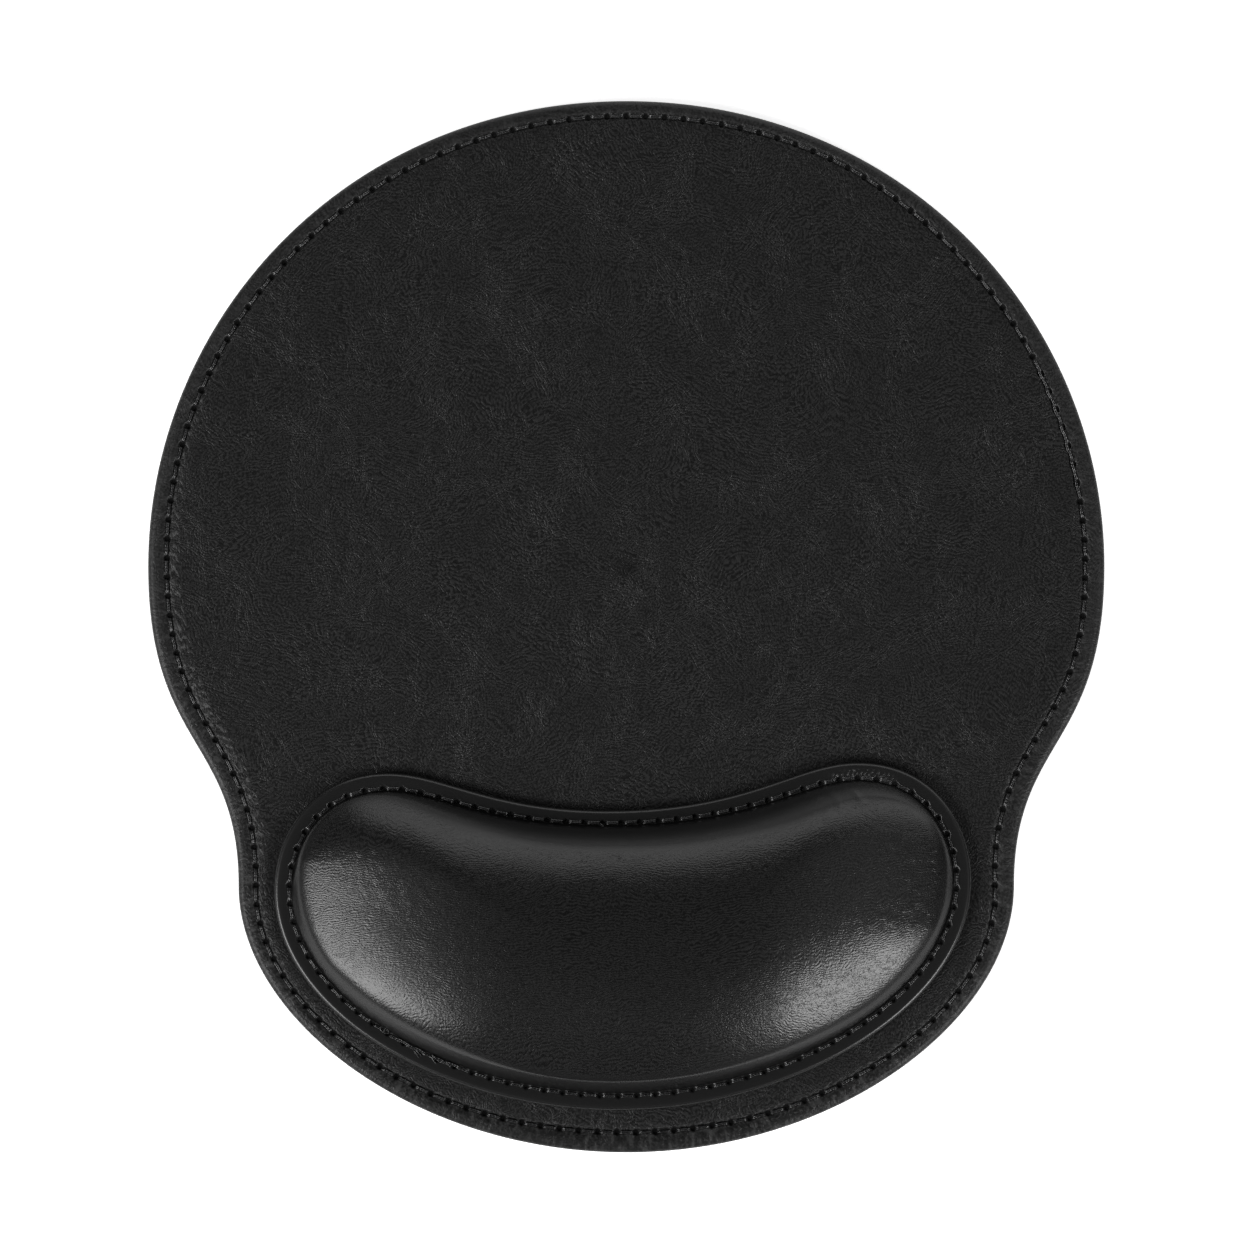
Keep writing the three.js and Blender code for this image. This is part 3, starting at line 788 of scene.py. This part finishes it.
# A node with its settings; inputs are numbers, vectors or other nodes' values
def addNode(tree, kind, inputs=None, **settings):
    node = tree.nodes.new(kind)
    for label, value in settings.items():
        setattr(node, label, value)
    for label, value in (inputs or {}).items():
        if isinstance(value, Value):
            tree.links.new(value.socket, node.inputs[label])
        else:
            node.inputs[label].default_value = value
    return node


# One output of a node; sums, differences and products of values add the nodes that work them out
class Value:
    def __init__(self, node, output=0):
        self.tree, self.socket = node.id_data, node.outputs[output]

    def math(self, operation, *others):
        inputs = dict(enumerate((self, *others)))
        return Value(addNode(self.tree, "ShaderNodeMath", inputs, operation=operation))

    def __add__(self, other):
        return self.math("ADD", other)

    def __sub__(self, other):
        return self.math("SUBTRACT", other)

    def __mul__(self, other):
        return self.math("MULTIPLY", other)

    def vector(self, operation, other):
        return Value(addNode(self.tree, "ShaderNodeVectorMath", {0: self, 1: other}, operation=operation))

    def part(self, axis):
        return Value(addNode(self.tree, "ShaderNodeSeparateXYZ", {0: self}), axis)

    # Carried smoothly from one range to another
    def ranged(self, low, high, toLow=0, toHigh=1):
        inputs = {0: self, 1: low, 2: high, 3: toLow, 4: toHigh}
        return Value(addNode(self.tree, "ShaderNodeMapRange", inputs, interpolation_type="SMOOTHSTEP"))

    def linkTo(self, shader, socket):
        self.tree.links.new(self.socket, shader.inputs[socket])


# A material, its shader with these fixed values, and its node tree
def newMaterial(name, **fixed):
    material = bpy.data.materials.new(name)
    material.use_nodes = True
    shader = material.node_tree.nodes["Principled BSDF"]
    for socket, value in fixed.items():
        shader.inputs[socket.replace("_", " ")].default_value = value
    return material, shader, material.node_tree


# A value that the mesh holds at its points
def meshValue(tree, label):
    return Value(addNode(tree, "ShaderNodeAttribute", attribute_name=label), "Fac")


# Stitches along the seam and millimetres inwards of it
def placeBySeam(tree):
    return Value(addNode(tree, "ShaderNodeUVMap", uv_map="seamPlace"))


# Object coordinates in millimetres
def placeInMm(tree):
    coordinates = Value(addNode(tree, "ShaderNodeTexCoord"), "Object")
    return coordinates.vector("MULTIPLY", (1 / mm,) * 3)


# Noise with grains of about this size
def noise(place, size, detail=2.0, output=0):
    inputs = {"Vector": place, "Scale": 1 / size, "Detail": detail}
    return Value(addNode(place.tree, "ShaderNodeTexNoise", inputs), output)


# Coordinates pushed about by broad noise: place + reach * (noise - 1/2)
def bent(place, size, reach):
    centred = noise(place, size, 1.0, output=1).vector("SUBTRACT", (0.5,) * 3)
    return place.vector("ADD", centred.vector("MULTIPLY", (reach,) * 3))


# Coordinates turned so that their x axis runs at this many degrees
def turned(place, degrees):
    inputs = {"Vector": place, "Rotation": (0, 0, np.radians(-degrees))}
    return Value(addNode(place.tree, "ShaderNodeMapping", inputs))


# Noise drawn out along one direction, with strokes of one width
def strokes(place, width, stretch, degrees, detail=0.0):
    scale = (1 / (width * stretch), 1 / width, 1 / width)
    return noise(turned(place, degrees).vector("MULTIPLY", scale), 1.0, detail)


# Ripples along one direction: 1/2 + 1/2 sin(2 pi * distance across it / wavelength)
def ripples(place, wavelength, degrees):
    return (turned(place, degrees).part("Y") * (2 * np.pi / wavelength)).math("SINE") * 0.5 + 0.5


# The base colour from its red, green and blue, or from one value for grey
def linkColour(shader, *parts):
    inputs = dict(zip(("Red", "Green", "Blue"), parts * (3 // len(parts))))
    Value(addNode(shader.id_data, "ShaderNodeCombineColor", inputs)).linkTo(shader, "Base Color")


# Relief of a height times a depth in millimetres
def linkBump(shader, height, depth):
    inputs = {"Strength": 1, "Distance": depth * mm, "Height": height}
    Value(addNode(shader.id_data, "ShaderNodeBump", inputs)).linkTo(shader, "Normal")


# Painted shade of the needle holes and the crease: over this range of the mask the tone falls to this share
paintedHoleShade = {"range": (0.1, 0.6), "tone": 0.02}


# Tone, roughness and relief of a leather; in the needle holes and the crease beside the thread the colour is
# darkened as painted shade, and it is dull from a least roughness on
def linkSkin(shader, tone, roughness, least, height, depth):
    pit = meshValue(tone.tree, "pit")
    linkColour(shader, tone * pit.ranged(*paintedHoleShade["range"], 1, paintedHoleShade["tone"]))
    roughness.math("MAXIMUM", pit.ranged(*paintedHoleShade["range"], least)).linkTo(shader, "Roughness")
    linkBump(shader, height, depth)


ridgeNoise = {
    "bendSize": 1.5, "bend": 2.2, "breakSize": 0.9, "ridgeRange": (0.6, 1.45),
    "keptSize": 0.7, "keptRange": (0.4, 0.6),
}


# Ridges beside a seam: sin(2 pi * (count * stitches along - slant * millimetres inwards + bend * noise)),
# broken up by finer noise, and kept only in patches
def seamRidges(tree, count, slant):
    r, place = ridgeNoise, placeBySeam(tree)
    phase = place.part("X") * count - place.part("Y") * slant + noise(place, r["bendSize"], 1) * r["bend"]
    broken = (phase * (2 * np.pi)).math("SINE") + noise(place, r["breakSize"], 0)
    return broken.ranged(*r["ridgeRange"]) * noise(place, r["keptSize"], 1).ranged(*r["keptRange"])


# The pad's leather: ripples in four directions, each given by degrees, wavelength and shift, on coordinates
# that are bent in different ways; in patches one direction stands out, and noise breaks the ripples up.
# Tone and roughness follow the crests; the tone is partly the grain's own and partly painted shade, darker
# in the valleys. Where the leather puckers or streaks beside the seam, ridges painted lighter as a highlight
# and light patches are added
padGrain = {
    "directions": [(38, 0.76, 0.3), (-48, 0.82, 4.1), (86, 0.7, 8.7), (-5, 0.88, 13.9)], "shifted": (9, 5, 1),
    "broadSize": 24, "broadReach": 14, "fineSize": 2.0, "fineReach": 2.3, "stretch": 2.5,
    "patchWidth": 7, "patchDetail": 2, "patchRange": (0.46, 0.64, 0.32, 0.8),
    "breakWidth": 0.6, "breakRange": (0.3, 0.62, 0.2, 1.2), "rimRange": (-1.3, -0.3, 0.5, 1),
    # the tone from valleys to crests: partly the grain's own, partly painted shade in the valleys
    "crestRange": (-0.42, 0.5), "toneLow": 0.0028, "grainToneAndShade": 0.0094,
    "specular": 0.35, "roughnesses": (0.4, 0.51), "depth": 0.05,
    "seamPatchStretch": (4.5, 0.45, 1), "seamPatchSize": 1.3, "seamPatchRange": (0.45, 0.75, 0, 0.03),
    # how much lighter the pucker and streak ridges are painted, as a highlight, for each unit of height
    "puckerRidges": (1.7, 0.4), "puckerHeight": 4.5, "ridgePaintedHighlight": 0.055,
    "streakRidges": (3.3, 0.1), "streakHeight": 0.8,
}


# height = sum of (ripple - 1/2) * broken * patch over the directions; the ridges come on top of it
def padLeatherMaterial():
    g = padGrain
    material, shader, tree = newMaterial("padLeather", Specular_IOR_Level=g["specular"])
    place, seamPlace, height = placeInMm(tree), placeBySeam(tree), 0
    for degrees, wavelength, shift in g["directions"]:
        moved = place.vector("ADD", [shift * part for part in g["shifted"]])
        broad = bent(moved, g["broadSize"], g["broadReach"])
        fine = bent(broad, g["fineSize"], g["fineReach"])
        patch = strokes(broad, g["patchWidth"], g["stretch"], degrees, g["patchDetail"])
        broken = strokes(fine, g["breakWidth"], g["stretch"], degrees).ranged(*g["breakRange"])
        wave = (ripples(fine, wavelength, degrees) - 0.5) * broken * patch.ranged(*g["patchRange"])
        height = wave + height
    height = height * seamPlace.part("Y").ranged(*g["rimRange"])
    # the tone rises with the crests: the grain's own tone, with painted shade in the valleys
    crest = height.ranged(*g["crestRange"])
    # the rim's painted light and shade scales the tone
    tone = (crest * g["grainToneAndShade"] + g["toneLow"]) * meshValue(tree, "shade")
    masks = {label: meshValue(tree, label) for label in ("pucker", "streak")}
    patches = noise(seamPlace.vector("MULTIPLY", g["seamPatchStretch"]), g["seamPatchSize"])
    tone = tone + patches.ranged(*g["seamPatchRange"]) * (masks["pucker"] + masks["streak"])
    for label, mask in masks.items():
        ridges = seamRidges(tree, *g[label + "Ridges"]) * mask * g[label + "Height"]
        height = height + ridges
        # the ridges are painted lighter: a painted highlight on them
        tone = tone + ridges * (g["ridgePaintedHighlight"] / g["puckerHeight"])
    linkSkin(shader, tone, crest.ranged(0, 1, *g["roughnesses"]), 0, height, g["depth"])
    return material


# The rest's leather: nearly level ripples and short strokes on bent coordinates, on the crown and faintly on
# the flange; its tone follows the crests, partly the grain's own and partly painted shade, darker in the
# valleys. Flange and wall each have a tone of their own, and the near wall is a little duller. Where the
# flange is gathered, ridges painted lighter as a highlight are added
restGrain = {
    "broadSize": 26, "broadReach": 12, "fineSize": 3, "fineReach": 2.2, "degrees": 4,
    "wavelength": 0.62, "ripplePart": 0.3, "strokeWidth": 0.3, "stretch": 1.8,
    # the tone from valleys to crests: partly the grain's own, partly painted shade in the valleys
    "crestRange": (0.4, 0.9), "toneLow": 0.0034, "grainToneAndShade": 0.0115, "flangeTone": 0.0074, "wallTone": 0.0,
    "specular": 0.5, "roughness": 0.29, "nearWallRoughness": 0.36, "depth": 0.045,
    # how much lighter the gathered ridges are painted, as a highlight
    "gatherRidges": (4, 0.15), "gatherPaintedHighlight": 0.03, "gatherHeight": 3,
}


# height = (ripple part * ripples + strokes) * grain + gathered ridges
def restLeatherMaterial():
    g = restGrain
    material, shader, tree = newMaterial("restLeather", Specular_IOR_Level=g["specular"])
    grain, wall, dull, gather = (meshValue(tree, label) for label in ("grain", "wall", "dull", "gather"))
    fine = bent(bent(placeInMm(tree), g["broadSize"], g["broadReach"]), g["fineSize"], g["fineReach"])
    waves = (ripples(fine, g["wavelength"], g["degrees"]) * g["ripplePart"]
             + strokes(fine, g["strokeWidth"], g["stretch"], g["degrees"]))
    gathers = seamRidges(tree, *g["gatherRidges"]) * gather
    smooth = (grain * -1 + 1) * wall.ranged(0, 1, g["flangeTone"], g["wallTone"])
    # the tone rises with the crests: the grain's own tone, with painted shade in the valleys
    tone = (waves.ranged(*g["crestRange"]) * grain * g["grainToneAndShade"] + g["toneLow"]
            # the gathered ridges are painted lighter: a painted highlight on them
            + smooth + gathers * g["gatherPaintedHighlight"])
    roughness = dull.ranged(0, 1, g["roughness"], g["nearWallRoughness"])
    height = waves * grain + gathers * g["gatherHeight"]
    linkSkin(shader, tone, roughness, g["roughness"], height, g["depth"])
    return material


threadLook = {
    "colour": (0.014, 0.014, 0.0145, 1), "roughness": 0.3, "specular": 0.95,
    "twist": 9.0, "strands": 2.0, "depth": 0.015,
}


# Twisted strands: sin(twist * millimetres along + strands * angle round the ply)
def threadMaterial():
    s = threadLook
    material, shader, tree = newMaterial("blackThread", Roughness=s["roughness"], Base_Color=s["colour"],
                                         Specular_IOR_Level=s["specular"])
    phase = meshValue(tree, "along") * s["twist"] + meshValue(tree, "around") * s["strands"]
    linkBump(shader, phase.math("SINE"), s["depth"])
    return material


gripLook = {"colour": (0.016, 0.016, 0.0165, 1), "roughness": 0.8, "pitch": 1.8, "degrees": 45, "depth": 0.2}


# The non-slip sheet: a fine lattice, the product of two crossing ripples
def gripMaterial():
    s = gripLook
    material, shader, tree = newMaterial("gripRubber", Roughness=s["roughness"], Base_Color=s["colour"])
    one, other = (ripples(placeInMm(tree), s["pitch"], degrees) for degrees in (s["degrees"], -s["degrees"]))
    linkBump(shader, one * other, s["depth"])
    return material


# Colour, roughness, and the size and depth of the grain of each hidden piece
plainLooks = {
    "coreFoam": ((0.07, 0.07, 0.072), 0.95, 0.4, 0.1),
    "cushionFoam": ((0.09, 0.09, 0.092), 0.95, 0.5, 0.1),
    "board": ((0.2, 0.17, 0.13), 0.85, 0.7, 0.03),
    "adhesive": ((0.55, 0.54, 0.5), 0.5, 2, 0.02),
}
plainRange = (0.2, 0.8, 0.75, 1.25)


# The colour and the surface follow one noise
def plainMaterial(name):
    colour, roughness, size, depth = plainLooks[name]
    material, shader, tree = newMaterial(name, Roughness=roughness)
    grain = noise(placeInMm(tree), size, 3)
    shade = grain.ranged(*plainRange)
    linkColour(shader, *(shade * part for part in colour))
    linkBump(shader, grain, depth)
    return material


# A piece's material; a new piece also rides on the root and takes the place of CAD nodes
def dress(piece, material, slot, *nodes):
    piece.data.materials.clear()
    piece.data.materials.append(material)
    if nodes:
        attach(piece, "root")
        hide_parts(*nodes)


thread = threadMaterial()
dress(padCover, padLeatherMaterial(), "pad_leather", "pad_cover")
dress(restCover, restLeatherMaterial(), "rest_leather", "rest_cover")
dress(padNeedleStitches, thread, "thread", "pad_needle_thread")
dress(padBobbinStitches, thread, "thread", "pad_bobbin_thread")
dress(restNeedleStitches, thread, "thread", "rest_needle_thread")
dress(restBobbinStitches, thread, "thread", "rest_bobbin_thread")
dress(nonslipBase, gripMaterial(), "nonslip", "nonslip_base")
dress(padCoreFoam, plainMaterial("coreFoam"), "core_foam", "pad_core")
dress(restFoam, plainMaterial("cushionFoam"), "cushion_foam", "rest_foam")
dress(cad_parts["rest_board"], plainMaterial("board"), "board")
dress(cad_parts["rest_adhesive_sheet"], plainMaterial("adhesive"), "adhesive")
print("materials on")

studio = {
    "floorHalf": 6, "floorColour": (0.9, 0.9, 0.9, 1), "floorRoughness": 0.9,
    "floorGlow": 0.42, "floorSeen": 0.75,
    "worldDim": 0.031, "worldBright": 0.85, "worldFalloff": 8, "worldFar": 1.1,
    "lampAim": (0, -0.03, 0.01), "lampDistance": 3.5,
    # heading, height above the horizon, both in degrees, then width, height and watts of each lamp
    "lamps": {
        "keyLeft": (241, 36.5, 2.4, 1.6, 113), "keyRight": (132.5, 34.5, 1.25, 1.4, 67),
        "far": (17, 22, 6.0, 2.0, 50),
        "glowLeft": (278, 58, 2.8, 2.0, 2.8), "glowRight": (76, 56, 2.8, 2.0, 4.6),
    },
    "cameraHeight": 2.0, "cameraX": 0.17, "cameraY": -0.06,
    "sensorWidth": 36, "frameWidth": 298.15, "frameZ": 2.5,
}


# A white floor that the camera sees, and surfaces mirror, as bright, and that still takes the object's shadow
def makeFloor():
    s, half = studio, studio["floorHalf"]
    mesh = bpy.data.meshes.new("floor")
    corners = [(-half, -half, 0), (half, -half, 0), (half, half, 0), (-half, half, 0)]
    mesh.from_pydata(corners, [], [(0, 1, 2, 3)])
    floor = addObject("floor", mesh)
    material, shader, tree = newMaterial("whiteFloor", Roughness=s["floorRoughness"], Specular_IOR_Level=0.0,
                                         Base_Color=s["floorColour"], Emission_Color=(1, 1, 1, 1))
    path = addNode(tree, "ShaderNodeLightPath")
    seen, glossy, through = (Value(path, "Is %s Ray" % kind) for kind in ("Camera", "Glossy", "Transmission"))
    glow = (seen * s["floorSeen"]).math("MAXIMUM", glossy.math("MAXIMUM", through) * s["floorGlow"])
    glow.linkTo(shader, "Emission Strength")
    mesh.materials.append(material)


# A rectangular lamp, aimed at the middle of the object
def makeLamp(name, heading, elevation, width, height, watts):
    lamp = bpy.data.lights.new(name, "AREA")
    lamp.shape, lamp.size, lamp.size_y, lamp.energy = "RECTANGLE", width, height, watts
    holder = addObject(name, lamp)
    h, e = np.radians(heading), np.radians(elevation)
    away = Vector((np.sin(h) * np.cos(e), np.cos(h) * np.cos(e), np.sin(e)))
    holder.location = Vector(studio["lampAim"]) + away * studio["lampDistance"]
    holder.rotation_euler = away.to_track_quat("Z", "Y").to_euler()


# A surround that is bright at the horizon and dim overhead, with a glow on its far side:
# dim + bright * (1 - height)^falloff + far * share that points far
def makeWorld():
    s = studio
    world = bpy.data.worlds.new("studio")
    bpy.context.scene.world = world
    world.use_nodes = True
    direction = Value(addNode(world.node_tree, "ShaderNodeTexCoord"), "Generated")
    height, farther = (direction.part(axis).math("MAXIMUM", 0) for axis in ("Z", "Y"))
    glow = (height * -1 + 1).math("POWER", s["worldFalloff"])
    strength = glow * s["worldBright"] + s["worldDim"] + farther * s["worldFar"]
    strength.linkTo(world.node_tree.nodes["Background"], "Strength")


# The camera looks straight down and takes in the frame's width at the frame's height
def makeCamera():
    s = studio
    data = bpy.data.cameras.new("camera")
    camera = addObject("camera", data)
    camera.location = (s["cameraX"] * mm, s["cameraY"] * mm, s["cameraHeight"])
    data.sensor_width = s["sensorWidth"]
    data.lens = s["sensorWidth"] * (s["cameraHeight"] - s["frameZ"] * mm) / (s["frameWidth"] * mm)
    bpy.context.scene.camera = camera


makeFloor()
makeWorld()
makeCamera()
for name, values in studio["lamps"].items():
    makeLamp(name, *values)
bpy.context.scene.view_settings.view_transform = "Standard"
print("stage set")
